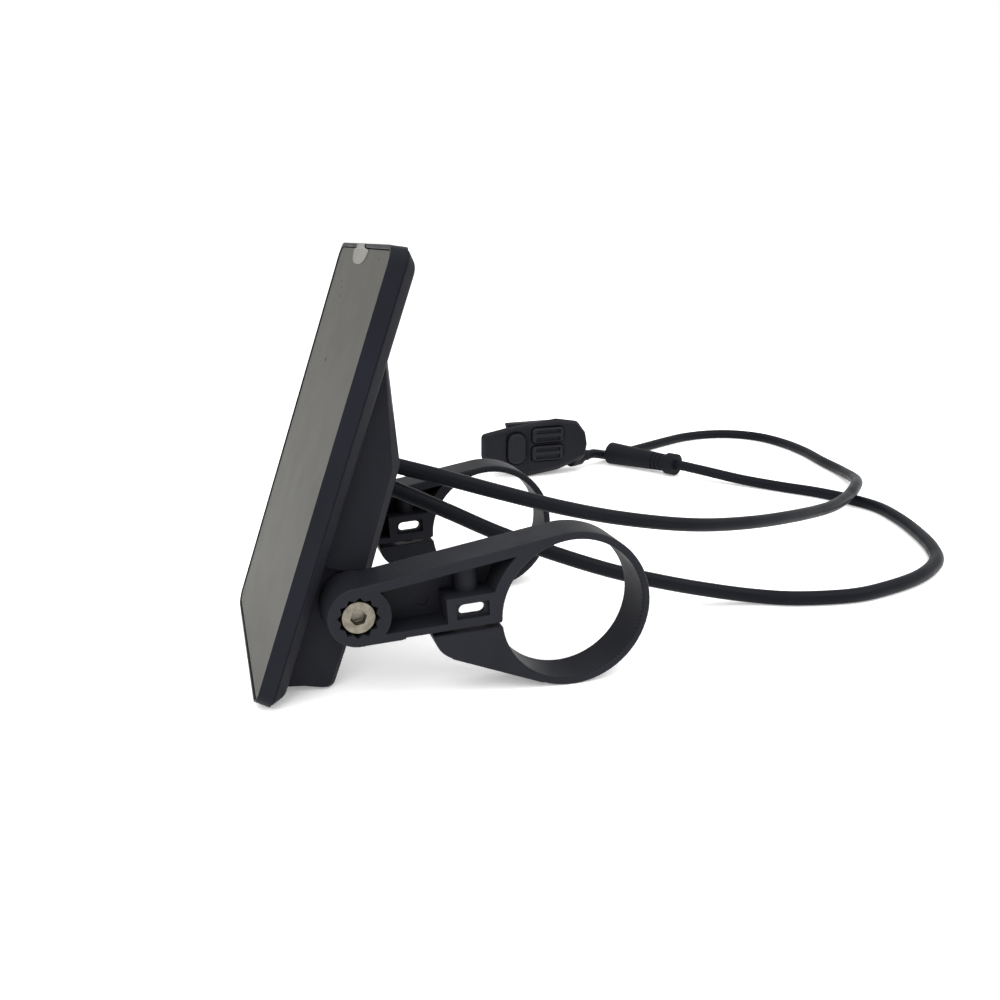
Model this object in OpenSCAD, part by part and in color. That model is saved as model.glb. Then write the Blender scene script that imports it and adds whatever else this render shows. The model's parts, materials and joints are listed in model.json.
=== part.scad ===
// Handlebar display for an e-bike, with its two split bar clamps, a button
// remote and a main lead. The origin is on the handlebar's axis, midway between
// the two clamps. +X runs along the bar, +Y points forward and +Z up.
// The outer side of each clamp ring stands on the table that the set lies on.

/* [Display head] */
// Width of the cover glass
glass_w = 61; // [54:0.1:66]
// Height of the cover glass
glass_h = 96.7; // [92:0.1:110]
// Thickness of the cover glass
glass_t = 1.2; // [0.8:0.1:1.3]
// Corner radius of the cover glass
glass_r = 3; // [1:0.1:5]
// Bezel beside and below the glass
lip = 0.5; // [0.3:0.1:2]
// Bezel above the glass
lip_top = 1; // [0.3:0.1:3]
// How far the bezel stands proud of the glass
rim_proud = 0.4; // [0.3:0.1:0.8]
// How far the side wall leans out by the parting line
draft = 0.6; // [0.2:0.1:1]
// Depth of the front casing's drafted side wall
front_d = 3; // [3:0.1:4]
// Chamfer round the back of the flat plate
back_chamfer = 2.9; // [2.9:0.1:4]
// Backward lean of the display
head_lean = 19.3; // [0:0.1:30]

/* [Rear hump] */
// Width of the hump above the ledge
hump_w = 48.8; // [47.6:0.1:49.2]
// Width of the hump between the arms
hump_low_w = 46.8; // [44:0.1:47.4]
// Height of the ledge where the hump narrows
ledge_s = 31; // [30:0.5:36]
// Height at which the upper ramp starts
ramp_top_s = 79; // [72:0.5:85]
// Height at which the upper ramp ends
ramp_foot_s = 56; // [55:0.5:60]
// Depth of the hump at the ramp's foot
hump_d_top = 16.4; // [15.8:0.1:18]
// Depth of the hump at the ledge
hump_d = 17.4; // [16.8:0.1:20]
// Depth of the hump at its foot
hump_d_foot = 17.2; // [16.4:0.1:19]
// Bevel of the hump's rear edges
hump_bevel = 2.4; // [1:0.1:3]
// Wall of the casings
wall = 1.6; // [1.2:0.1:1.8]

/* [Arms] */
// Bore of each bar clamp
clamp_bore_d = 31.8; // [25.4:0.1:35]
// Wall of the clamp ring
ring_wall = 1.7; // [1.5:0.1:4]
// From the bar's axis to the tilt pivot
arm_reach = 46.94; // [44:0.1:60]
// Height of the tilt pivot above the bar's axis
pivot_rise = 3.46; // [2:0.1:8]
// Width of each arm along the bar
arm_w = 9.86; // [9.4:0.1:11]
// Radius of the arm's round end
end_r = 6.5; // [6.2:0.1:7.5]
// Extra radius of the end boss on one side of the arm
boss_flare = 0.7; // [0.2:0.1:1]
// Wall round the arm's pocket
rib = 2.1; // [1.5:0.1:2.5]
// Depth of the arm's pocket
pocket_depth = 6.9; // [5:0.1:7.2]
// Slope of the clamp's split
split_deg = 7.2; // [4:0.1:10]
// Gap of the clamp's split
split_gap = 0.8; // [0.5:0.1:1.5]
// Bore for the clamp screw
clamp_screw_d = 3.4; // [3.2:0.1:4]

/* [Tilt pivot] */
// Thread diameter of the pivot screw
pivot_screw_d = 4; // [3:0.1:5]
// Head diameter of the pivot screw
pivot_head_d = 7.1; // [6.5:0.1:7.3]
// Head height of the pivot screw
pivot_head_h = 3.6; // [3:0.1:3.8]
// Key size of the pivot screw
hex_af = 3; // [2.5:0.1:4]
// Points of the star recess
star_points = 12; // [8:1:16]
// Tip diameter of the star recess
star_tip_d = 9.15; // [8.6:0.05:9.6]
// Valley diameter of the star recess
star_valley_d = 7.6; // [7.5:0.05:8]
// Depth of the star recess in each face of an arm
star_depth = 4; // [3.9:0.1:4.2]

/* [Remote] */
// Length of the remote along the bar
remote_l = 44.4; // [42:0.1:50]
// Height of the remote's face
remote_h = 23; // [22.4:0.1:26]
// Depth of the front shell
remote_front_d = 9.5; // [9:0.1:12]
// Depth of the rear shell with its saddle
remote_rear_d = 7.5; // [7.2:0.1:10]
// How far the remote draws in toward its back
remote_taper = 3.2; // [2:0.1:3.6]
// Handlebar diameter at the remote's saddle
grip_bar_d = 22.2; // [22:0.1:24]
// Travel of each key
key_travel = 0.6; // [0.3:0.1:0.6]
// Height of each key above the face
key_proud = 1.2; // [0.8:0.1:1.5]

/* [Leads] */
// Diameter of both leads
lead_d = 3.8; // [3:0.1:4.2]
// Length of the connector
plug_l = 31; // [28:0.5:36]
// Diameter of the connector at its coupling end
plug_d = 9; // [8.4:0.1:10]
// Diameter of the connector where it meets its collar
plug_tail_d = 6.7; // [6:0.1:8]
// Diameter of the connector's collar
collar_d = 8.4; // [7:0.1:9]
// Length of the connector's collar
collar_l = 4; // [3:0.1:6]

/* [Hidden] */
$fn = 48;

// Overrun of the cuts and overlap of fused pieces
lap = 0.3;
// Running clearance between turning faces
run = 0.05;
// Clearance between pieces that only fit together
fit = 0.1;

// Glass seat and front casing
gasket_t = 0.3;
gasket_w = 1.8;
gasket_inset = 0.4;
film_t = 0.12;
film_inset = 0.4;
tab_w = 14;
tab_x = 1;
tab_in = 3.8;
tab_out = 1;
tab_t = 0.2;
corner_r = glass_r + lip + draft;
window_side = 3.4;
window_foot = 11.1;
window_head = 9.9;
tongue_w = 0.8;
tongue_l = 1;
seal_t = 0.5;

// Screen and board
lcd_t = 1.8;
lcd_gap = 0.9;
tray_wall = 0.8;
tray_t = 1.4;
board_h = 56;
board_s = 12;
board_t = 1.6;
board_side = 1.3;
stand_h = 0.8;
stand_r = 2;
stand_inset = 3.5;
board_plug = [6, 4.4, 4.2];
board_screw_r = 0.9;
board_head_r = 1.7;
board_head_h = 1.2;

// Cover screws and their posts
post_r = 2.6;
tower_r = 3.2;
cover_screw_r = 1.1;
cover_hole_r = 1.35;
cover_head_r = 2;
cover_head_h = 0.7;
cover_seat = 0.6;
cover_screw_l = 2.7;
cover_drive_r = 0.9;
cover_drive_d = 0.5;
post_top = [19, 7];
post_foot = [15, 8.2];

// Tilt pivot, in the head's own height and depth
pivot_s = 24.95;
pivot_d = 14.43;
boss_r = 5.4;
bearing_run = 0.08;
insert_r = 2.8;
insert_l = 8;
pivot_screw_l = 11.5;
socket_l = 1.9;
boss_in = 8.5;
arm_gap = 0.34;

// Rounds of the hump seen from the side
foot_rise = 1.5;
foot_round = 2;
hump_round = 5;
bevel_share = 0.8;

// Leads leave the hump one above the other
exit_remote_s = 51.7;
exit_main_s = 46.2;
grommet_r = 2.35;
grommet_flange_r = 2.7;
grommet_flange_t = 0.9;
grommet_nose = 3.4;
grommet_tail = 0.9;

// Derived sizes of the head
glass_x = glass_w / 2;
face_x = glass_x + lip;
face_s = [-lip, glass_h + lip_top];
part_x = face_x + draft;
part_s = [face_s[0] - draft, face_s[1] + draft];
plate_d = front_d + back_chamfer;
seat_d = glass_t + gasket_t;
tongue_x = part_x - back_chamfer;
tongue_s = [part_s[0] + back_chamfer, part_s[1] - back_chamfer];
pocket_d = front_d + tongue_l + seal_t;
window_s = [part_s[0] + window_foot, part_s[1] - window_head];
window_x = part_x - tongue_w - window_side;
lcd_x = window_x - lcd_gap - tray_wall;
lcd_s = [window_s[0] + lcd_gap + tray_wall, window_s[1] - lcd_gap - tray_wall];
lcd_back = glass_t + lcd_t;
tray_back = lcd_back + tray_t;
board_d = tray_back + stand_h;
foot_s = part_s[0] + back_chamfer;
hump_wide = max(hump_w, hump_low_w);
inner_x = min(hump_w, hump_low_w) / 2 - wall;
board_w = 2 * (inner_x - board_side);

// Derived sizes of the arms
bore_r = clamp_bore_d / 2;
ring_r = bore_r + ring_wall;
table_z = -ring_r;
pivot_y = -sqrt(arm_reach * arm_reach - pivot_rise * pivot_rise);
arm_tilt = -asin(pivot_rise / arm_reach);
arm_in = hump_wide / 2 + arm_gap;
arm_out = arm_in + arm_w;
top_deg = asin((ring_r - end_r) / arm_reach);
split_drop = 0.64;
pocket_boss_r = end_r + boss_flare / 2;
ring_land = 2.9;

// Clamp block, in the split's own directions from the bar's axis
screw_out = 6.44;
block_out = [5.6, 5.8];
cavity_out = [3.5, 5.3];
screw_p = bore_r + screw_out;
block_p = [screw_p + block_out[0], screw_p - block_out[1]];
block_q = 7;
cavity_p = [screw_p + cavity_out[0], screw_p - cavity_out[1]];
cavity_q = [-1.5, 5.7];
plate_t = 1.2;
slot_recess = [7.15, 3.4];
slot_recess_t = 1;
nut_slot = [5.8, 2.4];
slot_q = 3.74;
column_r = 2.5;
screw_q = [-6, 10];
screw_head_r = 3.1;
jaw_out = 8.3;
jaw_y = bore_r + jaw_out;
jaw_r = 6.5;
jaw_deg = 17.5;
jaw_start_deg = 186;
mark_r = 1.6;
mark_t = 0.3;
mark_at = [14.74, 1.2];

// Remote: the outline seen from the front, as shares of its length and height
remote_outline_shares = [
    [0, 0.38], [0.43, 0], [0.72, 0.08], [0.975, 0.26], [1, 0.5],
    [0.98, 0.72], [0.9, 0.93], [0.7, 1], [0.22, 0.89], [0, 0.81]
];
remote_x = -134;
remote_y = 32;
remote_edge = 1.2;
remote_wall = 1.5;
remote_round = 1.6;
remote_rim = 3;
remote_low = 1.6;
saddle_pad = [21, 18.6];
saddle_at = [14, 10.5];
saddle_depth = 4.8;
trough_y = [9.7, 18.9];
trough_depth = 0.7;
mode_key = [7.3, 12];
mode_round = 3.2;
mode_at = [13.8, 12.4];
rocker_key = [13, 5.9];
rocker_round = 1.4;
up_at = [26.6, 17.1];
down_at = [26.6, 9.9];
key_gap = 0.2;
key_rim = 0.3;
key_rim_t = 0.8;
groove_l = 10;
groove_w = 1.5;
groove_depth = 0.9;
switch_size = [1.5, 4.5, 2.2];
remote_seal_t = 0.5;
remote_screw_at = [[7, 13], [37.6, 12.6]];
remote_screw_r = 1;
remote_head_r = 1.8;
remote_head_h = 0.8;
remote_post_r = 1.9;
remote_screw_l = 5;
remote_board_t = 1.2;
remote_board_low = 7.3;
remote_board_h = 10.6;
gland_at = [-4.9, 5.2];
gland_turn = 25;
gland_r = 2.4;
gland_collar_r = 3.3;
gland_collar_l = 6.4;
gland_neck_l = 1.2;
gland_nose_r = 2.15;
gland_nose_l = 4;

// Connector on the main lead
plug_at = [-119.5, 106.8];
plug_heading = 210;
core_r = 3.1;
core_l = 9;
core_inset = 0.4;
pin_r = 0.45;
pin_l = 6;
pin_pitch_r = 1.75;
pin_count = 5;
mouth_seal_r = 3.7;
mouth_seal_t = 1.2;
plug_grooves = 3;
plug_groove_pitch = 1.8;
plug_groove_w = 0.6;
plug_groove_t = 0.35;

// Hand-laid route of the remote's lead, between its two glands
remote_route = [
    [0, -20, 22.6], [-2, -5, 17], [-4, 12, 11], [-6, 29, 6], [-9, 48, 1.6], [-14, 65, -1.5],
    [-24, 87, -5], [-41, 115, -9.4], [-54, 132, -11.2], [-66, 145, -11.5], [-81, 157, -13.6],
    [-98, 164.5, -15.3], [-116, 168.5, -15.7], [-132, 172, -15.7], [-148, 173.2, -15.7],
    [-162, 171, -15.7], [-171.5, 164, -15.7], [-175.5, 153, -15.7], [-174, 140, -15.7],
    [-169, 128.5, -15.7], [-163.3, 117.5, -15.7], [-157.8, 107, -15.7], [-154, 99, -15.7],
    [-152, 94.2, -15.5], [-149.6, 90.2, -14.6], [-147, 86.5, -13.4]
];
// Hand-laid route of the main lead, from its gland to the connector
main_route = [
    [0, -18, 13.6], [0, -6, 7.2], [0.5, 9, 0.4], [1.5, 24, -5.4], [2.5, 38, -9.6],
    [3, 51, -13], [4.5, 63, -15.3], [8, 73, -15.7], [10, 87, -15.7], [8, 99, -15.7],
    [3, 113, -15.7], [-5, 125, -15.7], [-14, 132, -15.7], [-26, 138, -15.7],
    [-43, 144, -15.7], [-58, 146, -15.7], [-75, 140, -15.7], [-88, 131, -15.7],
    [-99, 122.5, -15.2], [-108, 114.6, -13.9]
];
lead_sides = 8;

// Rounded corner of an outline, from side a-b to side b-c
function unit(v) = v / norm(v);
function round_corner(a, b, c, r, n) =
    let (u = unit(a - b), v = unit(c - b), half = acos(u * v) / 2,
         m = b + unit(u + v) * r / sin(half), s = b + u * r / tan(half) - m,
         turn = sign(cross(b - a, c - b)) * (180 - 2 * half))
    arc(m, r, atan2(s[1], s[0]), atan2(s[1], s[0]) + turn, n);

// Outline with every corner rounded, radii given one by one
function rounded(p, r, n) =
    let (k = len(p))
    [for (i = [0 : k - 1]) each round_corner(p[(i + k - 1) % k], p[i], p[(i + 1) % k], r[i], n)];

function box_outline(x, s) = [[-x, s[0]], [x, s[0]], [x, s[1]], [-x, s[1]]];
function round_box(x, s, r, n = 6) = rounded(box_outline(x, s), [r, r, r, r], n);
// Outline of the tongue and groove between the casings, drawn in by k
function tongue_outline(k) = round_box(tongue_x - k, tongue_s + [k, -k], glass_r - k);
function arc(c, r, a, b, n) = [
    for (i = [0 : n]) let (turn = a + (b - a) * i / n) c + r * [cos(turn), sin(turn)]];

// Solid through a row of outlines that have the same number of points, each
// running counterclockwise as seen from the next one
module loft(rings) {
    n = len(rings[0]);
    last = len(rings) - 1;
    polyhedron(
        points = [for (ring = rings) each ring],
        faces = concat(
            [[for (i = [0 : n - 1]) i]],
            [for (k = [0 : last - 1]) for (i = [0 : n - 1])
                each [[k * n + i, (k + 1) * n + i, (k + 1) * n + (i + 1) % n],
                      [k * n + i, (k + 1) * n + (i + 1) % n, k * n + (i + 1) % n]]],
            [[for (i = [0 : n - 1]) last * n + n - 1 - i]]
        )
    );
}

// Outline in width and height, set at depth d of the head, wound for the loft
function at_depth(p, d) = [for (i = [len(p) - 1 : -1 : 0]) [p[i][0], d, p[i][1]]];
// Outline in depth and height, set across the head at x
function at_x(p, x) = [for (q = p) [x, q[0], q[1]]];

// Places a piece of the head, whose own Y is the depth behind the glass
module on_head() {
    translate([0, pivot_y, pivot_rise])
        rotate([-head_lean, 0, 0])
            translate([0, -pivot_d, -pivot_s]) children();
}

// Plate between two depths of the head, from an outline in width and height
module slab(d, t) {
    translate([0, d + t, 0]) rotate([90, 0, 0]) linear_extrude(t) children();
}

// Prism along X, from an outline in Y and Z
module prism_x(x, w) {
    translate([x, 0, 0]) rotate([90, 0, 90]) linear_extrude(w) children();
}

// Round bar along X and along the head's depth
module rod_x(x, l, r) {
    translate([x, 0, 0]) rotate([0, 90, 0]) cylinder(h = l, r = r);
}
module rod_d(d, l, r) {
    translate([0, d, 0]) rotate([-90, 0, 0]) cylinder(h = l, r = r);
}

module at_posts() {
    for (side = [-1, 1]) {
        translate([side * post_top[0], 0, part_s[1] - post_top[1]]) children();
        translate([side * post_foot[0], 0, part_s[0] + post_foot[1]]) children();
    }
}

// Display head
module front_casing() color([0.07, 0.07, 0.08]) on_head() {
    difference() {
        union() {
            loft([
                at_depth(round_box(face_x, face_s, corner_r - draft), -rim_proud),
                at_depth(round_box(part_x, part_s, corner_r), front_d)
            ]);
            slab(front_d - lap, tongue_l + lap) polygon(tongue_outline(fit));
            at_posts() rod_d(front_d - lap, pocket_d - front_d + lap, post_r);
        }
        slab(-rim_proud - lap, rim_proud + seat_d + lap)
            polygon(round_box(glass_x + fit, [-fit, glass_h + fit], glass_r + fit));
        slab(seat_d - lap, front_d + tongue_l)
            polygon(box_outline(window_x, window_s));
        difference() {
            slab(front_d, tongue_l + lap) polygon(tongue_outline(tongue_w + fit));
            at_posts() rod_d(front_d - lap, pocket_d, post_r);
        }
        at_posts() rod_d(seat_d + lap, pocket_d, cover_screw_r + run);
    }
}

module cover_glass() color([0.02, 0.02, 0.03, 0.9]) on_head()
    slab(0, glass_t) polygon(round_box(glass_x, [0, glass_h], glass_r));

module glass_gasket() color([0.1, 0.1, 0.1]) on_head() difference() {
    slab(glass_t, gasket_t)
        polygon(round_box(glass_x - gasket_inset, [gasket_inset, glass_h - gasket_inset], glass_r));
    slab(glass_t - lap, gasket_t + 2 * lap)
        polygon(box_outline(glass_x - gasket_inset - gasket_w,
                            [gasket_inset + gasket_w, glass_h - gasket_inset - gasket_w]));
}

// Thin protective film with a pull tab over the top bezel
module screen_film() color([0.8, 0.82, 0.84, 0.5]) on_head() {
    slab(-film_t, film_t)
        polygon(round_box(glass_x - film_inset, [film_inset, glass_h - film_inset], glass_r));
    film_tab();
}

// The tab leaves the film and climbs over the rim
module film_tab() {
    over_d = -rim_proud - run;
    leave_s = glass_h - film_inset - lap;
    intersection() {
        prism_x(tab_x - tab_w, 2 * tab_w) polygon([
            [-film_t, glass_h - tab_in], [-film_t, leave_s], [over_d, glass_h], [over_d, glass_h + tab_out],
            [over_d - tab_t, glass_h + tab_out], [over_d - tab_t, glass_h], [-film_t - tab_t, leave_s],
            [-film_t - tab_t, glass_h - tab_in]]);
        translate([tab_x, 0, 0]) slab(over_d - 2 * tab_t, 2 * tab_t - over_d)
            polygon(rounded(box_outline(tab_w / 2, [glass_h - tab_in, glass_h + tab_out]),
                            [tab_in / 2, tab_in / 2, lap, lap], 6));
    }
}

module lcd_panel() color([0.12, 0.13, 0.16]) on_head()
    slab(glass_t, lcd_t) polygon(box_outline(lcd_x, lcd_s));

// Tray that holds the screen and carries the board's stands
module lcd_tray() color([0.75, 0.75, 0.72]) on_head() difference() {
    union() {
        slab(seat_d + fit, tray_back - seat_d - fit)
            polygon(box_outline(lcd_x + tray_wall, lcd_s + [-tray_wall, tray_wall]));
        at_stands() rod_d(tray_back - lap, stand_h + lap, stand_r);
    }
    slab(glass_t, lcd_t) polygon(box_outline(lcd_x + run, lcd_s + [-run, run]));
    at_stands() rod_d(lcd_back + lap, board_d, board_screw_r + run);
}

module at_stands() {
    for (x = [-1, 1], s = [stand_inset, board_h - stand_inset])
        translate([x * (board_w / 2 - stand_inset), 0, board_s + s]) children();
}

module main_board() color([0.05, 0.35, 0.2]) on_head() difference() {
    slab(board_d, board_t) polygon(box_outline(board_w / 2, [board_s, board_s + board_h]));
    at_stands() rod_d(board_d - lap, board_t + 2 * lap, board_screw_r + fit);
}

module board_screws() color([0.75, 0.75, 0.78]) on_head() at_stands() {
    rod_d(board_d + board_t, board_head_h, board_head_r);
    rod_d(lcd_back + 2 * lap, board_d + board_t - lcd_back - lap, board_screw_r);
}

// Two plugs on the back of the board, one for each lead
module board_plugs() color([0.9, 0.9, 0.85]) on_head()
    for (side = [-1, 1])
        translate([side * board_plug[0] - board_plug[0] / 2, board_d + board_t, exit_main_s - board_plug[0]])
            cube(board_plug);

module housing_seal() color([0.3, 0.3, 0.32]) on_head() difference() {
    slab(front_d + tongue_l, seal_t) polygon(tongue_outline(fit));
    slab(front_d + tongue_l - lap, seal_t + 2 * lap) polygon(tongue_outline(tongue_w + fit));
}

// Side outline of the hump in depth and height, drawn in by k for its bevelled edges
hump_root_d = plate_d - lap;
ramp_root_s = ramp_top_s + lap * (ramp_top_s - ramp_foot_s) / (hump_d_top - plate_d);
function hump_side(k) = rounded(
    [[hump_root_d, foot_s], [hump_d_foot - k, foot_s + foot_rise + k / 2], [hump_d - k, ledge_s],
     [hump_d_top - k, ramp_foot_s - k / 2], [hump_root_d, ramp_root_s - k]],
    [lap, foot_round, hump_round, hump_round, lap], 4);

module hump() {
    bevel_d = hump_bevel * bevel_share;
    difference() {
        loft([at_x(hump_side(bevel_d), -hump_wide / 2), at_x(hump_side(0), hump_bevel - hump_wide / 2),
              at_x(hump_side(0), hump_wide / 2 - hump_bevel), at_x(hump_side(bevel_d), hump_wide / 2)]);
        for (side = [0, 1]) mirror([side, 0, 0]) {
            if (hump_low_w < hump_wide)
                translate([hump_low_w / 2, plate_d, 0]) cube([hump_wide, hump_d, ledge_s]);
            if (hump_w < hump_wide)
                translate([hump_w / 2, plate_d, ledge_s]) cube([hump_wide, hump_d, ramp_top_s]);
        }
    }
}

module rear_cover() color([0.09, 0.09, 0.1]) on_head() {
    hump_inner = [
        [pocket_d - lap, foot_s + wall + lip], [hump_d_foot - wall, foot_s + wall + 2 * lip],
        [hump_d - wall, ledge_s], [hump_d_top - wall, ramp_foot_s - lip],
        [pocket_d - lap, ramp_top_s - 2 * wall]
    ];
    difference() {
        union() {
            difference() {
                union() {
                    loft([
                        at_depth(round_box(part_x, part_s, corner_r), front_d),
                        at_depth(round_box(part_x - back_chamfer, part_s + [back_chamfer, -back_chamfer],
                                           corner_r / 2), plate_d)
                    ]);
                    hump();
                }
                slab(front_d - lap, pocket_d - front_d + lap) polygon(tongue_outline(0));
                prism_x(-inner_x, 2 * inner_x) polygon(hump_inner);
            }
            for (side = [-1, 1])
                translate([0, pivot_d, pivot_s])
                    mirror([side < 0 ? 1 : 0, 0, 0]) pivot_boss();
            intersection() {
                at_posts() rod_d(pocket_d, hump_d, tower_r);
                slab(pocket_d, hump_d_foot - wall / 2 - pocket_d)
                    polygon(box_outline(inner_x, [foot_s + lip, ledge_s]));
            }
        }
        for (side = [-1, 1])
            translate([0, pivot_d, pivot_s])
                mirror([side < 0 ? 1 : 0, 0, 0]) pivot_bore();
        at_posts() {
            rod_d(pocket_d - lap, hump_d, cover_hole_r);
            rod_d(pocket_d + cover_seat, hump_d, cover_head_r + fit);
        }
        for (s = [exit_remote_s, exit_main_s])
            translate([0, 0, s]) rod_d(hump_d_top - 2 * wall, hump_d, grommet_r + run);
    }
}

// Boss between the hump and an arm, with the round spigot that the arm turns on
spigot_end = arm_in + star_depth - run;
spigot_r = star_valley_d / 2 - bearing_run;
module pivot_boss() {
    rod_x(hump_low_w / 2 - boss_in, arm_in - run - hump_low_w / 2 + boss_in, boss_r);
    rod_x(hump_low_w / 2, spigot_end - hump_low_w / 2, spigot_r);
}
module pivot_bore() {
    rod_x(spigot_end - insert_l, insert_l + lap, insert_r + run / 2);
    rod_x(hump_low_w / 2 - boss_in - lap, spigot_end, pivot_screw_d / 2 + fit);
}

module pivot_insert() color([0.8, 0.62, 0.3]) on_head()
    translate([0, pivot_d, pivot_s]) difference() {
        rod_x(spigot_end - insert_l, insert_l, insert_r);
        rod_x(spigot_end - insert_l - lap, insert_l + 2 * lap, pivot_screw_d / 2 + run / 2);
    }
module pivot_insert_right() pivot_insert();
module pivot_insert_left() mirror([1, 0, 0]) pivot_insert();

// Socket-head screw, seated in the star recess
module pivot_screw() color([0.6, 0.58, 0.54]) on_head()
    translate([0, pivot_d, pivot_s]) {
        seat = arm_out - star_depth + run;
        difference() {
            union() {
                rod_x(seat, pivot_head_h, pivot_head_d / 2);
                rod_x(seat - pivot_screw_l, pivot_screw_l + lap, pivot_screw_d / 2);
            }
            translate([seat + pivot_head_h - socket_l, 0, 0]) rotate([0, 90, 0])
                cylinder(h = socket_l + lap, r = hex_af / sqrt(3), $fn = 6);
        }
    }
module pivot_screw_right() pivot_screw();
module pivot_screw_left() mirror([1, 0, 0]) pivot_screw();

module cover_screws() color([0.6, 0.6, 0.62]) on_head() at_posts() difference() {
    union() {
        rod_d(pocket_d + cover_seat, cover_head_h, cover_head_r);
        rod_d(pocket_d + cover_seat - cover_screw_l, cover_screw_l + run, cover_screw_r);
    }
    for (turn = [0, 90])
        translate([0, pocket_d + cover_seat + cover_head_h, 0]) rotate([0, turn, 0])
            cube([2 * cover_drive_r, 2 * cover_drive_d, cover_drive_d], center = true);
}

// Rubber grommet: a flange inside, a neck through the wall and a nose outside
module grommet(s) color([0.06, 0.06, 0.06]) on_head() translate([0, 0, s]) {
    rod_d(hump_d_top - wall - grommet_flange_t - grommet_tail, grommet_flange_t, grommet_flange_r);
    rod_d(hump_d_top - wall - grommet_tail - lap, wall + grommet_tail + grommet_nose, grommet_r);
    rod_d(hump_d - fit, grommet_flange_t, grommet_flange_r);
}
module grommet_remote_lead() grommet(exit_remote_s);
module grommet_main_lead() grommet(exit_main_s);
nose_d = hump_d_top - lap + grommet_nose;

// Arm, drawn in its own plane: bar's axis at the origin, pivot on its left
function split_b(a, q) = -split_drop + a * tan(split_deg) + q / cos(split_deg);
function top_b(a, k) = (ring_r - k) / cos(top_deg) + a * tan(top_deg);

// The jaw's corner is a round that the underside leaves along a common tangent
jaw_z = (jaw_y * sin(jaw_deg) - ring_r + jaw_r) / cos(jaw_deg);
arm_outline = concat(
    arc([0, 0], ring_r, -90 - jaw_deg, 90 + top_deg, 44),
    [[-arm_reach - end_r * sin(top_deg), end_r * cos(top_deg)], [-arm_reach, 0]],
    [[-arm_reach + end_r * sin(split_deg), split_b(-arm_reach + end_r * sin(split_deg), 0)]],
    [[-jaw_y - jaw_r, split_b(-jaw_y - jaw_r, 0)]],
    arc([-jaw_y, jaw_z], jaw_r, jaw_start_deg, 270 - jaw_deg, 7)
);

// Point in the split's own directions: p out from the bar, q square to the split
module on_split() {
    rotate([split_deg, 0, 0]) children();
}
module split_box(x, w, p, q) {
    on_split() translate([x, -p[0], q[0]]) cube([w, p[0] - p[1], q[1] - q[0]]);
}

// Star recess with straight-sided points
star_outline = [for (i = [0 : 2 * star_points - 1])
    (i % 2 == 0 ? star_tip_d : star_valley_d) / 2 * [cos(180 * i / star_points), sin(180 * i / star_points)]];

module pocket() {
    x = arm_w - pocket_depth;
    difference() {
        prism_x(x, pocket_depth + lap) polygon([
            [-arm_reach, split_b(-arm_reach, rib)], [0, split_b(0, rib)],
            [0, top_b(0, rib)], [-arm_reach, top_b(-arm_reach, rib)]]);
        translate([0, -arm_reach, 0]) rod_x(0, 2 * arm_w, pocket_boss_r);
        rod_x(0, 2 * arm_w, bore_r + ring_land);
        split_box(0, 2 * arm_w, [block_p[0], 0], [0, block_q]);
        column();
    }
}

// Half-round column that carries the end of the clamp screw
module column() {
    on_split() translate([0, -screw_p, block_q - lap]) linear_extrude(ring_r)
        polygon(concat(arc([arm_w / 2, 0], column_r, -90, 90, 12), [[0, column_r], [0, -column_r]]));
}

module clamp_cuts() {
    rod_x(-lap, arm_w + 2 * lap, bore_r);
    split_box(-lap, arm_w + 2 * lap, [jaw_y + 2 * jaw_r, bore_r - rib],
              [-split_drop - split_gap / 2, -split_drop + split_gap / 2]);
    split_box(-lap, arm_w - slot_recess_t - plate_t + lap, cavity_p, cavity_q);
    on_split() {
        translate([arm_w / 2, -screw_p, screw_q[0] - lap])
            cylinder(h = screw_q[1] - screw_q[0] + lap, d = clamp_screw_d);
        translate([arm_w / 2, -screw_p, screw_q[0] - ring_r]) cylinder(h = ring_r, r = screw_head_r);
        translate([arm_w - slot_recess_t, -screw_p - slot_recess[0] / 2, slot_q - slot_recess[1] / 2])
            cube([slot_recess_t + lap, slot_recess[0], slot_recess[1]]);
        translate([0, -screw_p, slot_q]) prism_x(arm_w / 2, arm_w) nut_slot_outline();
    }
}

module nut_slot_outline() {
    r = nut_slot[1] / 2;
    polygon(concat(arc([nut_slot[0] / 2 - r, 0], r, -90, 90, 8),
                   arc([r - nut_slot[0] / 2, 0], r, 90, 270, 8)));
}

module arm(x) color([0.08, 0.08, 0.09])
    translate([x, 0, 0]) rotate([arm_tilt, 0, 0]) difference() {
        union() {
            prism_x(0, arm_w) polygon(arm_outline);
            translate([0, -arm_reach, 0]) rotate([0, 90, 0])
                cylinder(h = arm_w, r1 = end_r + boss_flare, r2 = end_r + run);
        }
        pocket();
        translate([arm_w - pocket_depth - mark_t, mark_at[0] - arm_reach, mark_at[1]])
            rod_x(0, pocket_depth, mark_r);
        clamp_cuts();
        translate([0, -arm_reach, 0]) {
            rod_x(-lap, arm_w + 2 * lap, pivot_screw_d / 2 + run);
            prism_x(-lap, star_depth + lap) polygon(star_outline);
            prism_x(arm_w - star_depth, star_depth + lap) polygon(star_outline);
        }
    }
module arm_right() arm(arm_in);
module arm_left() arm(-arm_out);

// Places a piece of the remote: X is out of its face, Y along it and Z up from the table
module on_remote() {
    translate([remote_x, remote_y, table_z]) children();
}
remote_points = [for (p = remote_outline_shares) [p[0] * remote_l, p[1] * remote_h]];
remote_centre = [remote_l / 2, remote_h / 2];

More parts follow.
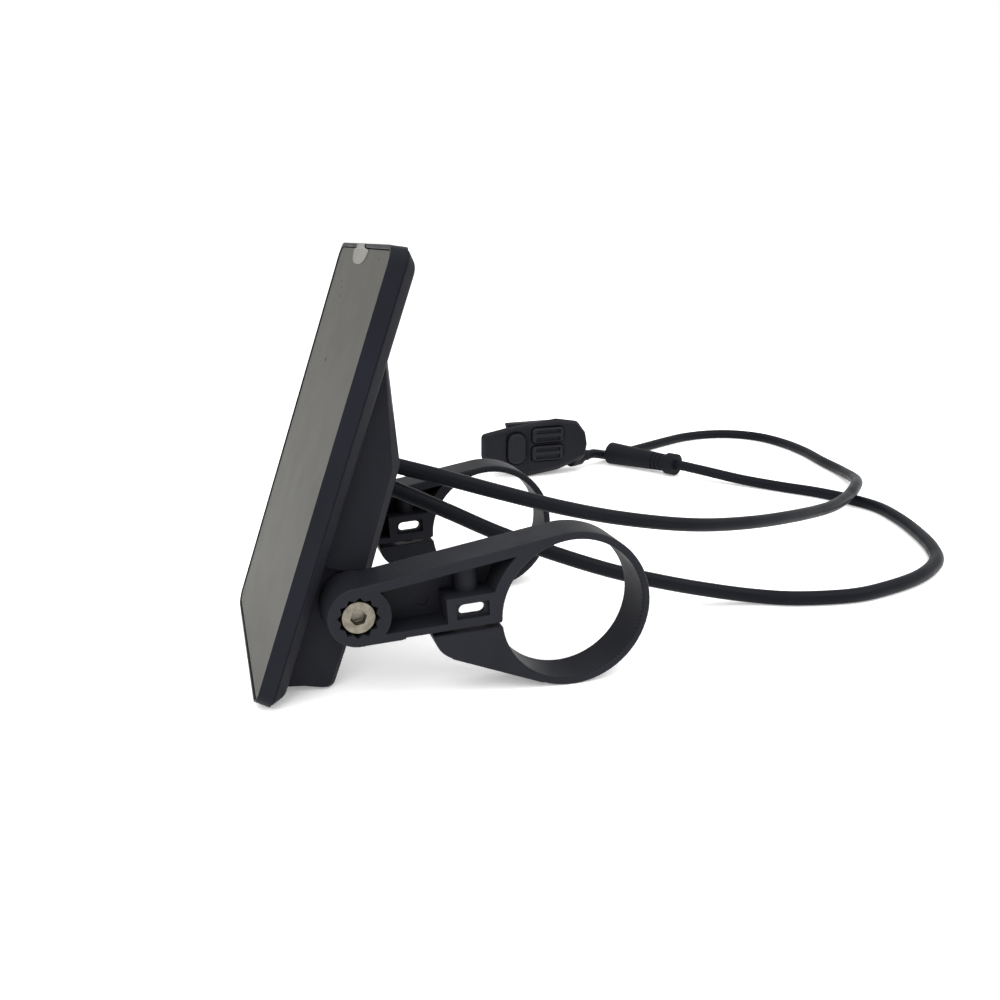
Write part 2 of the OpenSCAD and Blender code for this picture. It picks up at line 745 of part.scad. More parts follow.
// Outline of the remote, drawn in by k, with its lower side drawn up by low
remote_outline = rounded(remote_points, [for (p = remote_points) remote_round], 3);
function remote_ring(k, low = 0) = [
    for (p = remote_outline)
        let (q = [for (i = [0, 1]) p[i] - k * (p[i] - remote_centre[i]) / remote_centre[i]])
        [q[0], q[1] + low * (1 - q[1] / remote_h)]];
remote_depth = remote_front_d + remote_rear_d;
plate_back = -remote_depth + saddle_depth - run;

function key_ring(size, r, k) = rounded(
    [[-size[0] / 2 - k, -size[1] / 2 - k], [size[0] / 2 + k, -size[1] / 2 - k],
     [size[0] / 2 + k, size[1] / 2 + k], [-size[0] / 2 - k, size[1] / 2 + k]],
    [for (i = [0 : 3]) r + k], 5);
module at_key(at) {
    translate([0, at[0], at[1]]) children();
}
module at_remote_screws() {
    for (p = remote_screw_at) translate([0, p[0], p[1]]) children();
}
// Places a piece on the axis of the remote's gland
module on_gland() {
    translate([gland_at[0], remote_l - gland_collar_l, gland_at[1]])
        rotate([0, 0, gland_turn]) rotate([-90, 0, 0]) children();
}

// Tapered body behind the face's straight rim, drawn in by k
module remote_body(k) {
    loft([at_x(remote_ring(remote_taper + k), -remote_front_d), at_x(remote_ring(k), -remote_rim),
          at_x(remote_ring(k), -2 * remote_edge), at_x(remote_ring(remote_edge + k, remote_low), 0)]);
}

module remote_front_shell() color([0.1, 0.1, 0.11]) on_remote() difference() {
    union() {
        difference() {
            remote_body(0);
            loft([at_x(remote_ring(remote_taper + remote_wall), -remote_front_d - lap),
                  at_x(remote_ring(remote_wall), -remote_rim),
                  at_x(remote_ring(remote_wall, remote_low / 2), -remote_wall)]);
        }
        intersection() {
            at_remote_screws() rod_x(-remote_front_d, remote_front_d - remote_wall / 2, remote_post_r);
            remote_body(remote_wall / 2);
        }
        on_gland() cylinder(h = gland_collar_l - lap, r = gland_collar_r);
    }
    translate([-trough_depth, trough_y[0], -lap])
        cube([trough_depth + lap, trough_y[1] - trough_y[0], remote_h + 2 * lap]);
    key_hole(mode_at, mode_key, mode_round);
    key_hole(up_at, rocker_key, rocker_round);
    key_hole(down_at, rocker_key, rocker_round);
    at_remote_screws() rod_x(-remote_front_d - lap, remote_screw_l, remote_screw_r + run);
    on_gland() translate([0, 0, -lap]) cylinder(h = gland_collar_l + 2 * lap, r = gland_r + run);
}
module key_hole(at, size, r) {
    at_key(at) prism_x(-2 * remote_wall, 3 * remote_wall) polygon(key_ring(size, r, key_gap));
}

// Key with a rim behind the face; the grooves run along the rocker keys
module key(at, size, r, grooves) color([0.14, 0.14, 0.15]) on_remote() at_key(at) difference() {
    union() {
        loft([at_x(key_ring(size, r, 0), -remote_wall), at_x(key_ring(size, r, 0), key_proud / 2),
              at_x(key_ring(size, r, -key_proud / 2), key_proud)]);
        prism_x(-remote_wall - run - key_rim_t, key_rim_t) polygon(key_ring(size, r, key_rim));
        prism_x(-remote_wall - lap, lap) polygon(key_ring(size, r, 0));
    }
    for (i = [0 : 1 : grooves - 1])
        translate([key_proud - groove_depth, -groove_l / 2,
                   (i - (grooves - 1) / 2) * size[1] / 2 - groove_w / 2])
            cube([key_proud, groove_l, groove_w]);
}
module key_mode() key(mode_at, mode_key, mode_round, 0);
module key_up() key(up_at, rocker_key, rocker_round, 2);
module key_down() key(down_at, rocker_key, rocker_round, 2);

key_back = -remote_wall - run - key_rim_t;
switch_top = key_back - key_travel - fit;
switch_back = switch_top - switch_size[0];
module key_switches() color([0.85, 0.85, 0.82]) on_remote()
    for (at = [mode_at, up_at, down_at])
        at_key(at) translate([switch_back, -switch_size[1] / 2, -switch_size[2] / 2]) cube(switch_size);

// Board that lies between the two screw posts
module remote_board() color([0.05, 0.35, 0.2]) on_remote()
    translate([switch_back - remote_board_t, remote_screw_at[0][0] + remote_post_r + lap, remote_board_low])
        cube([remote_board_t, remote_screw_at[1][0] - remote_screw_at[0][0] - 2 * (remote_post_r + lap),
              remote_board_h]);

// Ring between the shells, grown by k for its groove
module seal_ring(t, k) {
    difference() {
        prism_x(-remote_front_d - remote_seal_t, t)
            polygon(remote_ring(remote_taper + remote_wall / 2 - k));
        prism_x(-remote_front_d - 2 * remote_seal_t, 4 * remote_seal_t)
            polygon(remote_ring(remote_taper + remote_wall + k));
    }
}
module gland_clearance() {
    on_gland() translate([0, 0, -lap]) cylinder(h = gland_collar_l + lap, r = gland_collar_r + fit);
}
module remote_seal() color([0.3, 0.3, 0.32]) on_remote() difference() {
    seal_ring(remote_seal_t, 0);
    gland_clearance();
}

// Rear shell with the saddle that sits on the handlebar
module remote_rear_shell() color([0.1, 0.1, 0.11]) on_remote() difference() {
    union() {
        loft([at_x(remote_ring(remote_taper + remote_edge), plate_back),
              at_x(remote_ring(remote_taper), -remote_front_d)]);
        translate([-remote_depth, saddle_at[0], saddle_at[1] - saddle_pad[1] / 2])
            cube([saddle_depth + lap, saddle_pad[0], saddle_pad[1]]);
    }
    translate([-remote_depth - grip_bar_d / 2 + saddle_depth, saddle_at[0] - lap, saddle_at[1]])
        rotate([-90, 0, 0]) cylinder(h = saddle_pad[0] + 2 * lap, d = grip_bar_d, $fn = 96);
    seal_ring(2 * remote_seal_t, run);
    gland_clearance();
    at_remote_screws() {
        rod_x(plate_back - lap, remote_rear_d, remote_screw_r + fit);
        rod_x(plate_back - lap, remote_head_h + lap, remote_head_r + fit);
    }
}

module remote_screws() color([0.6, 0.6, 0.62]) on_remote() at_remote_screws() {
    rod_x(plate_back, remote_head_h, remote_head_r);
    rod_x(plate_back + remote_head_h - run, remote_screw_l, remote_screw_r);
}

module remote_gland() color([0.06, 0.06, 0.06]) on_remote() on_gland() {
    cylinder(h = gland_collar_l + gland_neck_l, r = gland_r);
    cylinder(h = gland_collar_l + gland_nose_l, r = gland_nose_r);
}
gland_reach = gland_collar_l + gland_nose_l;

// Leads: a smooth curve through the route, swept with a constant section
function curve_at(p, i, t) =
    let (a = p[max(i - 1, 0)], b = p[i], c = p[i + 1], d = p[min(i + 2, len(p) - 1)])
    0.5 * (2 * b + (c - a) * t + (2 * a - 5 * b + 4 * c - d) * t * t + (3 * b - a - 3 * c + d) * t * t * t);
function heading(p, i) = unit(p[min(i + 1, len(p) - 1)] - p[max(i - 1, 0)]);
function side_of(v) = unit([v[1], -v[0], 0]);
function section(c, v) =
    let (s = side_of(v), n = cross(v, s))
    [for (i = [0 : lead_sides - 1])
        c + lead_d / 2 * (cos(360 * (i + 0.5) / lead_sides) * s + sin(360 * (i + 0.5) / lead_sides) * n)];
function smooth(p) = concat(
    [for (i = [0 : len(p) - 2]) each [curve_at(p, i, 0), curve_at(p, i, 0.5)]], [p[len(p) - 1]]);

// The path has straight ends: the first and last two points give the end faces
module lead(start, route, end) {
    path = concat([start[0]], smooth(concat([start[1]], route, [end[0]])), [end[1]]);
    n = len(path);
    loft([for (i = [0 : n - 1]) section(path[i],
        i == 0 ? unit(path[1] - path[0]) : i == n - 1 ? unit(path[n - 1] - path[n - 2]) : heading(path, i))]);
}
function head_point(s, d) = [
    0,
    pivot_y + (s - pivot_s) * sin(head_lean) + (d - pivot_d) * cos(head_lean),
    pivot_rise + (s - pivot_s) * cos(head_lean) - (d - pivot_d) * sin(head_lean)];
function gland_point(l) = [
    remote_x + gland_at[0] - (gland_reach + l) * sin(gland_turn),
    remote_y + remote_l - gland_collar_l + (gland_reach + l) * cos(gland_turn), table_z + gland_at[1]];
function plug_point(l) = [
    plug_at[0] - l * cos(plug_heading), plug_at[1] - l * sin(plug_heading), table_z + plug_d / 2];

module remote_lead() color([0.07, 0.07, 0.07])
    lead([head_point(exit_remote_s, nose_d), head_point(exit_remote_s, nose_d + lead_d)], remote_route,
         [gland_point(lead_d), gland_point(0)]);
module main_lead() color([0.07, 0.07, 0.07])
    lead([head_point(exit_main_s, nose_d), head_point(exit_main_s, nose_d + lead_d)], main_route,
         [plug_point(lead_d), plug_point(0)]);

// Places a piece of the connector: its X runs from the lead to the coupling end
module on_plug() {
    translate([plug_at[0], plug_at[1], table_z + plug_d / 2]) rotate([0, 0, plug_heading])
        rotate([0, 90, 0]) children();
}

module connector_shell() color([0.08, 0.08, 0.08]) on_plug() difference() {
    rotate_extrude($fn = 64) polygon([
        [0, 0], [collar_d / 2, 0], [collar_d / 2, collar_l], [plug_tail_d / 2, collar_l + lap],
        [plug_d / 2, plug_l - lap], [plug_d / 2 - lap, plug_l], [0, plug_l]]);
    translate([0, 0, plug_l - core_l]) cylinder(h = core_l + lap, r = core_r + run);
    translate([0, 0, plug_l - mouth_seal_t]) cylinder(h = mouth_seal_t + lap, r = mouth_seal_r + run);
    for (i = [1 : plug_grooves])
        translate([0, 0, collar_l + i * plug_groove_pitch]) rotate_extrude($fn = 48)
            translate([plug_tail_d / 2 - plug_groove_t / 2, 0]) square([plug_tail_d, plug_groove_w]);
}

module connector_core() color([0.15, 0.15, 0.15]) on_plug() difference() {
    translate([0, 0, plug_l - core_l]) cylinder(h = core_l - core_inset, r = core_r);
    at_pins() translate([0, 0, plug_l - core_inset - pin_l]) cylinder(h = pin_l + lap, r = pin_r + run);
}
module at_pins() {
    for (i = [1 : pin_count])
        rotate([0, 0, 360 * i / pin_count]) translate([pin_pitch_r, 0, 0]) children();
}

module connector_pins() color([0.85, 0.7, 0.35]) on_plug()
    at_pins() translate([0, 0, plug_l - core_inset - pin_l]) cylinder(h = pin_l - run, r = pin_r, $fn = 24);

module connector_seal() color([0.35, 0.35, 0.36]) on_plug() difference() {
    translate([0, 0, plug_l - mouth_seal_t]) cylinder(h = mouth_seal_t, r = mouth_seal_r);
    translate([0, 0, plug_l - mouth_seal_t - lap]) cylinder(h = mouth_seal_t + 2 * lap, r = core_r + run);
}

front_casing();
cover_glass();
screen_film();
glass_gasket();
lcd_panel();
lcd_tray();
main_board();
board_plugs();
board_screws();
housing_seal();
rear_cover();
cover_screws();
pivot_insert_right();
pivot_insert_left();
pivot_screw_right();
pivot_screw_left();
arm_right();
arm_left();
grommet_remote_lead();
grommet_main_lead();
remote_front_shell();
remote_rear_shell();
remote_seal();
remote_board();
key_switches();
key_mode();
key_up();
key_down();
remote_screws();
remote_gland();
remote_lead();
main_lead();
connector_shell();
connector_core();
connector_pins();
connector_seal();
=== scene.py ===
"""An e-bike display on its two bar clamps, with its three-key remote and its main lead.

The camera and the two leads come first, then the materials, the finish and the rounded
edges of the CAD's pieces, the film over the glass, and the floor with its light. Lengths
are in metres.
"""

import json
import math

import bmesh
import bpy
from mathutils import Matrix, Vector

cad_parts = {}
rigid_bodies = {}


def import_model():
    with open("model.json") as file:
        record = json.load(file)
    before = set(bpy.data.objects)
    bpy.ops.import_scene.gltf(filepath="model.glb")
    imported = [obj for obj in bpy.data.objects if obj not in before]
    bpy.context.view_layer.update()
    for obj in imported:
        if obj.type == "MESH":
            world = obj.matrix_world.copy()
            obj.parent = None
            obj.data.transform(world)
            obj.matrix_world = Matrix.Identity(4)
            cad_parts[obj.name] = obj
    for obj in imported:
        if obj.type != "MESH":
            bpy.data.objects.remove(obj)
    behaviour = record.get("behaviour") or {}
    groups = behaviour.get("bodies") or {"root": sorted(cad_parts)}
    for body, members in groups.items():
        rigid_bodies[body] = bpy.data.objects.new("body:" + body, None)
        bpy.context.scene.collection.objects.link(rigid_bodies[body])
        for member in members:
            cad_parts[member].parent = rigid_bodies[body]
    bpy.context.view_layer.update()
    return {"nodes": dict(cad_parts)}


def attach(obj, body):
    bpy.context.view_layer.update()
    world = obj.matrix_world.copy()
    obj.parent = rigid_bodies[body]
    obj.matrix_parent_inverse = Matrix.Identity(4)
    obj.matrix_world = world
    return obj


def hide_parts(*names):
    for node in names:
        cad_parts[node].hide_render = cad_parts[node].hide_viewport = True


for old in list(bpy.data.objects):
    bpy.data.objects.remove(old)
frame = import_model()
NODES = frame["nodes"]
SCENE = bpy.context.scene
SCENE.view_settings.view_transform = "Standard"

# The head leans back about its pivot; s is the height along the glass, d the depth behind it
LEAN = math.radians(19.3)
PIVOT = Vector((0, -0.046812, 0.00346))
PIVOT_S = 0.02495
PIVOT_D = 0.01443
TABLE_Z = -0.0176

# Each lead leaves the nose of its grommet and ends in the remote's gland or the connector
LEAD_D = 0.0038
NOSE_D = 0.0195
REMOTE_AT = Vector((-0.134, 0.032, TABLE_Z))
GLAND_AT = Vector((-0.0049, 0.038, 0.0052))
GLAND_TURN = math.radians(25)
GLAND_NOSE = 0.0104
PLUG_AT = (-0.1195, 0.1068)
PLUG_TURN = math.radians(210)
PLUG_R = 0.0045
ROUTE_STEPS = 8
SHEATH_STEPS = 7


def head_point(x, s, d):
    """A point of the display head, from its own width, height and depth."""
    up, back = s - PIVOT_S, d - PIVOT_D
    return Vector((
        x,
        PIVOT.y + up * math.sin(LEAN) + back * math.cos(LEAN),
        PIVOT.z + up * math.cos(LEAN) - back * math.sin(LEAN),
    ))


def add_camera():
    """The photographer's place, fitted to the straight edges of the display and the arms."""
    data = bpy.data.cameras.new("camera")
    data.lens = 33.63
    data.sensor_width = 36
    data.shift_x = 0.1225
    data.shift_y = -0.0008
    data.clip_start = 0.01
    camera = bpy.data.objects.new("camera", data)
    SCENE.collection.objects.link(camera)
    place = Vector((0.209435, -0.074595, 0.079932))
    right = Vector((0.1918, 0.98089, -0.03268)).normalized()
    back = Vector((0.94456, -0.17545, 0.27754)).normalized()
    up = back.cross(right).normalized()
    right = up.cross(back)
    turn = Matrix((right, up, back)).transposed().to_4x4()
    camera.matrix_world = Matrix.Translation(place) @ turn
    SCENE.camera = camera


# Routes of the two leads, as in the CAD
REMOTE_ROUTE = [
    (0, -0.020, 0.0226), (-0.002, -0.005, 0.017), (-0.004, 0.012, 0.011), (-0.006, 0.029, 0.006),
    (-0.009, 0.048, 0.0016), (-0.014, 0.065, -0.0015), (-0.024, 0.087, -0.005),
    (-0.041, 0.115, -0.0094), (-0.054, 0.132, -0.0112), (-0.066, 0.145, -0.0115),
    (-0.081, 0.157, -0.0136), (-0.098, 0.1645, -0.0153), (-0.116, 0.1685, -0.0157),
    (-0.132, 0.172, -0.0157), (-0.148, 0.1732, -0.0157), (-0.162, 0.171, -0.0157),
    (-0.1715, 0.164, -0.0157), (-0.1755, 0.153, -0.0157), (-0.174, 0.140, -0.0157),
    (-0.169, 0.1285, -0.0157), (-0.1633, 0.1175, -0.0157), (-0.1578, 0.107, -0.0157),
    (-0.154, 0.099, -0.0157), (-0.152, 0.0942, -0.0155), (-0.1496, 0.0902, -0.0146),
    (-0.147, 0.0865, -0.0134),
]
MAIN_ROUTE = [
    (0, -0.018, 0.0136), (0, -0.006, 0.0072), (0.0005, 0.009, 0.0004), (0.0015, 0.024, -0.0054),
    (0.0025, 0.038, -0.0096), (0.003, 0.051, -0.013), (0.0045, 0.063, -0.0153),
    (0.008, 0.073, -0.0157), (0.010, 0.087, -0.0157), (0.008, 0.099, -0.0157),
    (0.003, 0.113, -0.0157), (-0.005, 0.125, -0.0157), (-0.014, 0.132, -0.0157),
    (-0.026, 0.138, -0.0157), (-0.043, 0.144, -0.0157), (-0.058, 0.146, -0.0157),
    (-0.075, 0.140, -0.0157), (-0.088, 0.131, -0.0157), (-0.099, 0.1225, -0.0152),
    (-0.108, 0.1146, -0.0139),
]


def gland_point(reach):
    """A point on the axis of the remote's gland, that far out of it."""
    out = GLAND_NOSE + reach
    axis = Vector((-out * math.sin(GLAND_TURN), out * math.cos(GLAND_TURN), 0))
    return REMOTE_AT + GLAND_AT + axis


def plug_point(reach):
    """A point on the connector's axis, that far out of its collar."""
    x, y = PLUG_AT
    return Vector((x - reach * math.cos(PLUG_TURN), y - reach * math.sin(PLUG_TURN),
                   TABLE_Z + PLUG_R))


def smooth(points):
    """Catmull-Rom points through a route, the same curve as the CAD's."""
    last = len(points) - 1
    out = []
    for i in range(last):
        a, b, c, d = points[max(i - 1, 0)], points[i], points[i + 1], points[min(i + 2, last)]
        for k in range(ROUTE_STEPS):
            t = k / ROUTE_STEPS
            out.append(0.5 * (2 * b + (c - a) * t + (2 * a - 5 * b + 4 * c - d) * t * t
                              + (3 * b - a - 3 * c + d) * t ** 3))
    return out + [points[last]]


def add_lead(name, route, end, s):
    """One free lead, from its grommet on the back of the head to its far end."""
    start = head_point(0, s, NOSE_D)
    straight = head_point(0, s, NOSE_D + LEAD_D)
    laid = smooth([straight] + [Vector(p) for p in route] + [end(LEAD_D)])
    points = [start] + laid + [end(0)]
    curve = bpy.data.curves.new(f"{name}_cord", "CURVE")
    curve.dimensions = "3D"
    curve.bevel_depth = LEAD_D / 2
    curve.bevel_resolution = SHEATH_STEPS
    curve.use_fill_caps = True
    spline = curve.splines.new("POLY")
    spline.points.add(len(points) - 1)
    for place, point in zip(spline.points, points):
        place.co = (*point, 1)
    spline.use_smooth = True
    lead = bpy.data.objects.new(f"{name}_cord", curve)
    SCENE.collection.objects.link(lead)
    curve.materials.append(MATERIALS["lead"])
    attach(lead, "head")
    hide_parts(name)


# Where the noise turns from the low tone to the high one, and from low gloss to high
TONE_TURN = (0.35, 0.65)
GLOSS_TURN = (0.3, 0.7)
# The gloss is mottled this much finer than the tone
GLOSS_FINER = 2.7
LEAST_ROUGH = 0.02
TONE_DETAIL, GLOSS_DETAIL, GRAIN_DETAIL = 3, 4, 2


def links(tree, *pairs):
    """Joins each pair of sockets, source first."""
    for source, target in pairs:
        tree.links.new(source, target)


def material(name, base, rough, spec=0.5, metal=0.0, mottle=0.12, mottle_scale=45.0,
             grain=6e-6, grain_scale=3500.0, spread=0.06):
    """A procedural finish: two tones mottled by noise, uneven gloss and a fine grain."""
    made = bpy.data.materials.new(name)
    made.use_nodes = True
    tree = made.node_tree
    shader = tree.nodes["Principled BSDF"]
    shader.inputs["Metallic"].default_value = metal
    shader.inputs["Specular IOR Level"].default_value = spec
    place = tree.nodes.new("ShaderNodeTexCoord")

    def noise(size, detail):
        made_noise = tree.nodes.new("ShaderNodeTexNoise")
        made_noise.inputs["Scale"].default_value = size
        made_noise.inputs["Detail"].default_value = detail
        links(tree, (place.outputs["Object"], made_noise.inputs["Vector"]))
        return made_noise.outputs["Fac"]

    ramp = tree.nodes.new("ShaderNodeValToRGB")
    for stop, turn, share in zip(ramp.color_ramp.elements, TONE_TURN, (1 - mottle, 1 + mottle)):
        stop.position = turn
        stop.color = (*(c * share for c in base), 1)
    links(tree, (noise(mottle_scale, TONE_DETAIL), ramp.inputs["Fac"]),
          (ramp.outputs["Color"], shader.inputs["Base Color"]))

    gloss = tree.nodes.new("ShaderNodeMapRange")
    gloss.inputs["From Min"].default_value = GLOSS_TURN[0]
    gloss.inputs["From Max"].default_value = GLOSS_TURN[1]
    gloss.inputs["To Min"].default_value = max(rough - spread, LEAST_ROUGH)
    gloss.inputs["To Max"].default_value = min(rough + spread, 1)
    links(tree, (noise(mottle_scale * GLOSS_FINER, GLOSS_DETAIL), gloss.inputs["Value"]),
          (gloss.outputs["Result"], shader.inputs["Roughness"]))

    bump = tree.nodes.new("ShaderNodeBump")
    bump.inputs["Strength"].default_value = 1.0
    bump.inputs["Distance"].default_value = grain
    links(tree, (noise(grain_scale, GRAIN_DETAIL), bump.inputs["Height"]),
          (bump.outputs["Normal"], shader.inputs["Normal"]))
    return made


# Base colour and roughness of each finish, and where it departs from material()'s own values
LOOKS = {
    "casing": ((0.0122, 0.0126, 0.0162), 0.5, {"spec": 0.045}),
    # A darker copy of the casing plastic for the front casing: painted shade for the darker band
    # along the head's side wall
    "bezel": ((0.0072, 0.0080, 0.0118), 0.45, {"spec": 0.08}),
    "glass": ((0.006, 0.006, 0.0075), 0.12, {"grain": 0, "spread": 0.02, "mottle": 0.05}),
    "film": ((0.056, 0.0548, 0.047), 0.5,
             {"spec": 0.072, "grain": 0, "spread": 0.02, "mottle": 0.03}),
    "film_tab": ((0.16, 0.158, 0.144), 0.4, {"spec": 0.06, "grain": 0, "mottle": 0.03}),
    "rubber": ((0.007, 0.007, 0.009), 0.7, {"spec": 0.12}),
    "rubber_grey": ((0.09, 0.09, 0.095), 0.75, {"spec": 0.25}),
    "screen": ((0.02, 0.022, 0.03), 0.25, {}),
    "tray": ((0.5, 0.5, 0.46), 0.55, {}),
    "board": ((0.01, 0.09, 0.04), 0.4, {"mottle": 0.35, "mottle_scale": 600}),
    "plug_white": ((0.72, 0.72, 0.66), 0.5, {}),
    "steel": ((0.20, 0.20, 0.21), 0.38, {"metal": 1.0, "mottle_scale": 600}),
    "stainless": ((0.17, 0.155, 0.125), 0.36,
                  {"metal": 1.0, "mottle": 0.2, "mottle_scale": 700,
                   "grain": 4e-6, "grain_scale": 5000}),
    "brass": ((0.62, 0.45, 0.18), 0.35, {"metal": 1.0}),
    "arm": ((0.0122, 0.0127, 0.0162), 0.46, {"spec": 0.07, "grain": 7e-6, "grain_scale": 2600}),
    "remote": ((0.0100, 0.0104, 0.0130), 0.5, {"spec": 0.06}),
    "keys": ((0.0105, 0.0110, 0.0140), 0.5, {"spec": 0.09}),
    "speck": ((0.030, 0.029, 0.026), 0.6, {"spec": 0.02, "grain": 0}),
    "lead": ((0.0052, 0.0060, 0.0085), 0.42, {"spec": 0.06, "grain": 3e-6, "grain_scale": 1800}),
    "connector": ((0.0072, 0.0076, 0.0098), 0.52, {"spec": 0.06}),
    "gold": ((0.75, 0.55, 0.22), 0.25, {"metal": 1.0}),
}
MATERIALS = {name: material(name, base, rough, **more)
             for name, (base, rough, more) in LOOKS.items()}

FINISH = {
    # The front casing takes the darker copy of the casing plastic, painted shade on its side
    # wall
    "front_casing": "bezel", "cover_glass": "glass", "screen_film": "film",
    "glass_gasket": "rubber", "lcd_panel": "screen", "lcd_tray": "tray", "main_board": "board",
    "board_plugs": "plug_white", "board_screws": "steel", "housing_seal": "rubber_grey",
    "rear_cover": "casing", "cover_screws": "steel", "pivot_insert_right": "brass",
    "pivot_insert_left": "brass", "pivot_screw_right": "stainless",
    "pivot_screw_left": "stainless", "arm_right": "arm", "arm_left": "arm",
    "grommet_remote_lead": "rubber", "grommet_main_lead": "rubber",
    "remote_front_shell": "remote", "remote_rear_shell": "remote", "remote_seal": "rubber_grey",
    "remote_board": "board", "key_switches": "plug_white", "key_mode": "keys",
    "key_up": "keys", "key_down": "keys", "remote_screws": "steel", "remote_gland": "rubber",
    "remote_lead": "lead", "main_lead": "lead", "connector_shell": "connector",
    "connector_core": "connector", "connector_pins": "gold", "connector_seal": "rubber_grey",
}

# Width of the round on the sharp edges of these pieces
EDGES = {
    "key_mode": 0.0003, "key_up": 0.00025, "key_down": 0.00025, "connector_shell": 0.00025,
    "pivot_screw_right": 0.0002, "pivot_screw_left": 0.0002, "cover_glass": 0.00015,
}
# Long rims that are rounded: the way that their flat side faces, the least and most lean of
# the faces that it meets (0 is square to it, 1 is flat), and the round's width
BAR_WAY = Vector((1, 0, 0))
DEPTH_WAY = Vector((0, math.cos(LEAN), -math.sin(LEAN)))
RIMS = {
    "arm_right": (BAR_WAY, 0, 0.1, 0.0006),
    "arm_left": (BAR_WAY, 0, 0.1, 0.0006),
    "front_casing": (DEPTH_WAY, 0, 0.15, 0.0003),
    "rear_cover": (DEPTH_WAY, 0.6, 0.8, 0.0009),
}
FACES_ALONG = 0.99
RIM_LENGTH = 0.045
WELD = 1e-6
SAME_PLACE = 2e-6
ROUND_SEGMENTS = 3
FLAT_WITHIN = math.radians(0.5)
SHARP_EDGE = math.radians(32)
SHARP_CORNER = math.radians(36)
# Shells whose edges are all softened alike
SOFT_SHELLS = ("remote_front_shell", "remote_rear_shell")
SOFT_GRID = 0.00028
SOFT_ROUNDS = 24


def joined_runs(edges):
    """The edges in groups, each joined end to end."""
    left = set(edges)
    while left:
        group, front = [], [left.pop()]
        while front:
            edge = front.pop()
            group.append(edge)
            for vert in edge.verts:
                for other in vert.link_edges:
                    if other in left:
                        left.discard(other)
                        front.append(other)
        yield group


def outline_group(node, way, least, most):
    """A vertex group of the long rims where a flat side that faces a way meets leaning faces."""
    bm = bmesh.new()
    bm.from_mesh(node.data)
    bmesh.ops.remove_doubles(bm, verts=bm.verts, dist=WELD)
    rims = []
    for edge in bm.edges:
        if len(edge.link_faces) == 2:
            leans = sorted(abs(face.normal.dot(way)) for face in edge.link_faces)
            if least <= leans[0] < most and leans[1] > FACES_ALONG:
                rims.append(edge)
    chosen = []
    for group in joined_runs(rims):
        places = [vert.co.copy() for edge in group for vert in edge.verts]
        spans = [max(p[i] for p in places) - min(p[i] for p in places) for i in range(3)]
        if max(spans) > RIM_LENGTH:
            chosen += places
    bm.free()
    found = [v.index for v in node.data.vertices
             if any((v.co - p).length < SAME_PLACE for p in chosen)]
    node.vertex_groups.new(name="outline").add(found, 1.0, "REPLACE")


def modify(node, name, kind, **settings):
    """Adds one modifier with its settings."""
    made = node.modifiers.new(name, kind)
    for key, value in settings.items():
        setattr(made, key, value)


def flatten(node):
    """Joins the triangles of each flat face, so that a round runs evenly along its edges."""
    modify(node, "flat", "DECIMATE", decimate_type="DISSOLVE", angle_limit=FLAT_WITHIN)


def dress_nodes():
    """Each CAD node gets its finish, and the moulded ones small rounds on their edges."""
    for name, node in NODES.items():
        mesh = node.data
        mesh.materials.clear()
        mesh.materials.append(MATERIALS[FINISH[name]])
        mesh.polygons.foreach_set("use_smooth", [True] * len(mesh.polygons))
        if "custom_normal" in mesh.attributes:
            mesh.attributes.remove(mesh.attributes["custom_normal"])
        modify(node, "weld", "WELD", merge_threshold=WELD)
        if name in EDGES:
            if not name.startswith("key_"):
                flatten(node)
            modify(node, "edges", "BEVEL", width=EDGES[name], segments=ROUND_SEGMENTS,
                   limit_method="ANGLE", angle_limit=SHARP_EDGE, harden_normals=True,
                   use_clamp_overlap=True)
        if name in RIMS:
            way, least, most, width = RIMS[name]
            outline_group(node, way, least, most)
            flatten(node)
            modify(node, "edges", "BEVEL", width=width, segments=ROUND_SEGMENTS,
                   limit_method="VGROUP", vertex_group="outline", use_clamp_overlap=False)
            modify(node, "corners", "EDGE_SPLIT", split_angle=SHARP_CORNER)
        if name in SOFT_SHELLS:
            modify(node, "even", "REMESH", mode="VOXEL", voxel_size=SOFT_GRID,
                   use_smooth_shade=True)
            modify(node, "soft", "SMOOTH", factor=0.5, iterations=SOFT_ROUNDS)
        modify(node, "normals", "WEIGHTED_NORMAL", keep_sharp=True)


# The film over the glass: depth of each layer and how far it is drawn in
FILM_HALF = 0.0301
FILM_FOOT = 0.0004
FILM_TOP = 0.0966
FILM_CORNER = 0.0022
FILM_LAYERS = ((-0.00001, 0), (-0.0001, 0), (-0.00013, 0.00005))
CORNER_STEPS = 8
# Its tab: a half round on the film, then rows of height, half width and depth over the rim
TAB_MIDDLE = -0.0022
TAB_HALF = 0.0084
TAB_DEEP = 0.0033
TAB_TOP = 0.0964
TAB_TIP = 0.0004
TAB_FULLNESS = 0.75
TAB_D = -0.00014
TAB_T = 0.00015
TAB_STEPS = 12
TAB_OVER_RIM = ((0.0967, 0.0050, -0.0003), (0.0970, 0.0046, -0.00046),
                (0.0977, 0.0044, -0.00047))
# Specks on the film: across, height and radius of each
SPECKS = ((-0.0072, 0.0704, 0.00045), (-0.0169, 0.0886, 0.00022), (-0.0137, 0.0873, 0.0002),
          (-0.0129, 0.0852, 0.00024), (0.0199, 0.0948, 0.0002))
SPECK_SIDES = 10
SPECK_TALL = 1.3
SPECK_LAYERS = (-0.00012, -0.00016)


def mesh_object(name, bm, finish):
    """A new object from a finished bmesh."""
    mesh = bpy.data.meshes.new(name)
    bmesh.ops.recalc_face_normals(bm, faces=bm.faces)
    bm.to_mesh(mesh)
    bm.free()
    made = bpy.data.objects.new(name, mesh)
    SCENE.collection.objects.link(made)
    mesh.materials.append(MATERIALS[finish])
    return made


